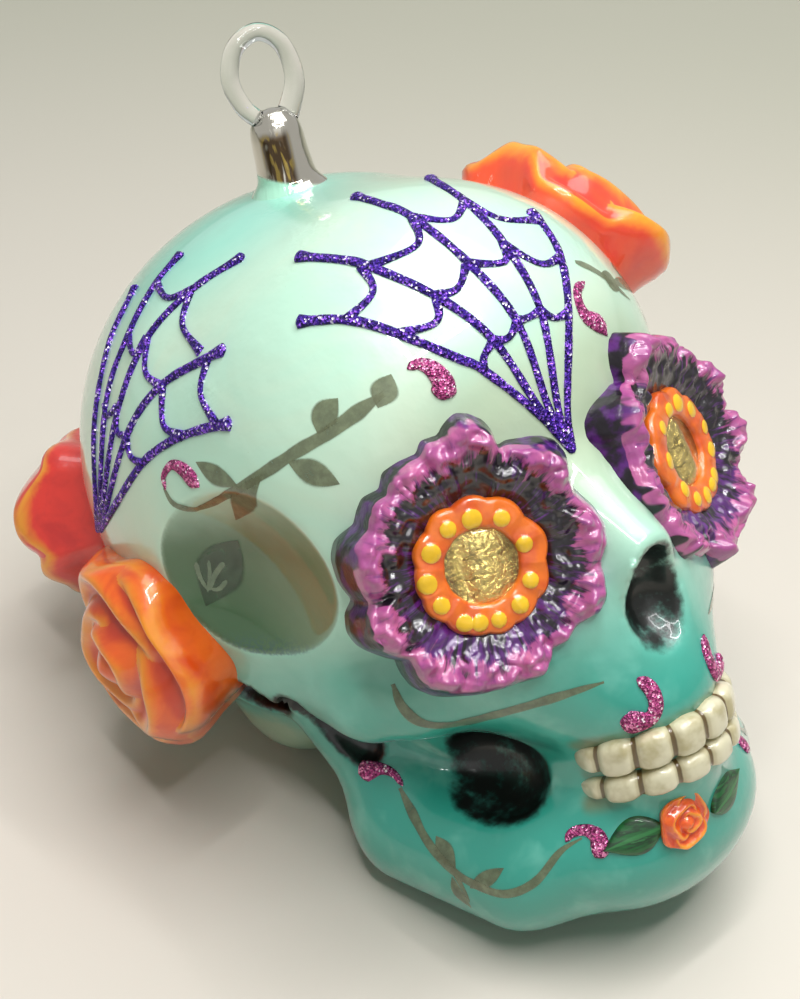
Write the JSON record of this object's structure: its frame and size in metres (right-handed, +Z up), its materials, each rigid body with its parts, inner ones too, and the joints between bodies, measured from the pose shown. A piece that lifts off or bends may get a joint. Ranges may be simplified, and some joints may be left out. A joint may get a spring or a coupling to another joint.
{
  "type": "sugar skull ornament",
  "caption": "Blown-glass sugar skull ornament with flower eyes, roses, teeth, glitter webs and a drawn glass hanger with a loop.",
  "frame": {"origin": "middle of the bounding box, at the level that the ornament rests on", "axes": "+Z up from the table, the face looks along -Y and tilts up a little, +X towards the skull's own left side"},
  "size_m": [0.0954, 0.1204, 0.1006],
  "materials": {
    "skull_glass": "pearl mint and aqua lacquer under a clear gloss coat",
    "neck_silver": "clear glass silvered on the inside",
    "loop_glass": "clear drawn rod, fire polished",
    "petal_orchid": "orchid and purple enamel, gloss",
    "ring_orange": "orange enamel with yellow dots, gloss",
    "mirror_gold": "gold-silvered crumpled glass",
    "rose_orange": "orange and yellow enamel, gloss",
    "rose_red": "red and yellow enamel, gloss",
    "leaf_green": "green enamel, gloss",
    "tooth_ivory": "ivory enamel, gloss",
    "glitter_violet": "violet glitter glue, laid on as beads",
    "glitter_pink": "pink glitter glue, laid on as beads"
  },
  "bodies": {
    "root": {"skull_shell": "skull_glass", "hanger_neck": "neck_silver", "hanger_loop": "loop_glass", "left_eye_petals": "petal_orchid", "left_eye_ring": "ring_orange", "left_eye_mirror": "mirror_gold", "right_eye_petals": "petal_orchid", "right_eye_ring": "ring_orange", "right_eye_mirror": "mirror_gold", "right_ear_rose": "rose_orange", "right_rear_rose": "rose_red", "left_temple_rose": "rose_orange", "chin_rose": "rose_orange", "chin_leaf_right": "leaf_green", "chin_leaf_left": "leaf_green", "upper_teeth": "tooth_ivory", "lower_teeth": "tooth_ivory", "forehead_web": "glitter_violet", "right_side_web": "glitter_violet", "right_brow_curl": "glitter_pink", "right_temple_curl": "glitter_pink", "right_cheek_curl": "glitter_pink", "right_jaw_curl": "glitter_pink", "right_chin_curl": "glitter_pink", "left_brow_curl": "glitter_pink", "left_cheek_curl": "glitter_pink", "left_jaw_curl": "glitter_pink", "left_chin_curl": "glitter_pink"}
  },
  "joints": []
}
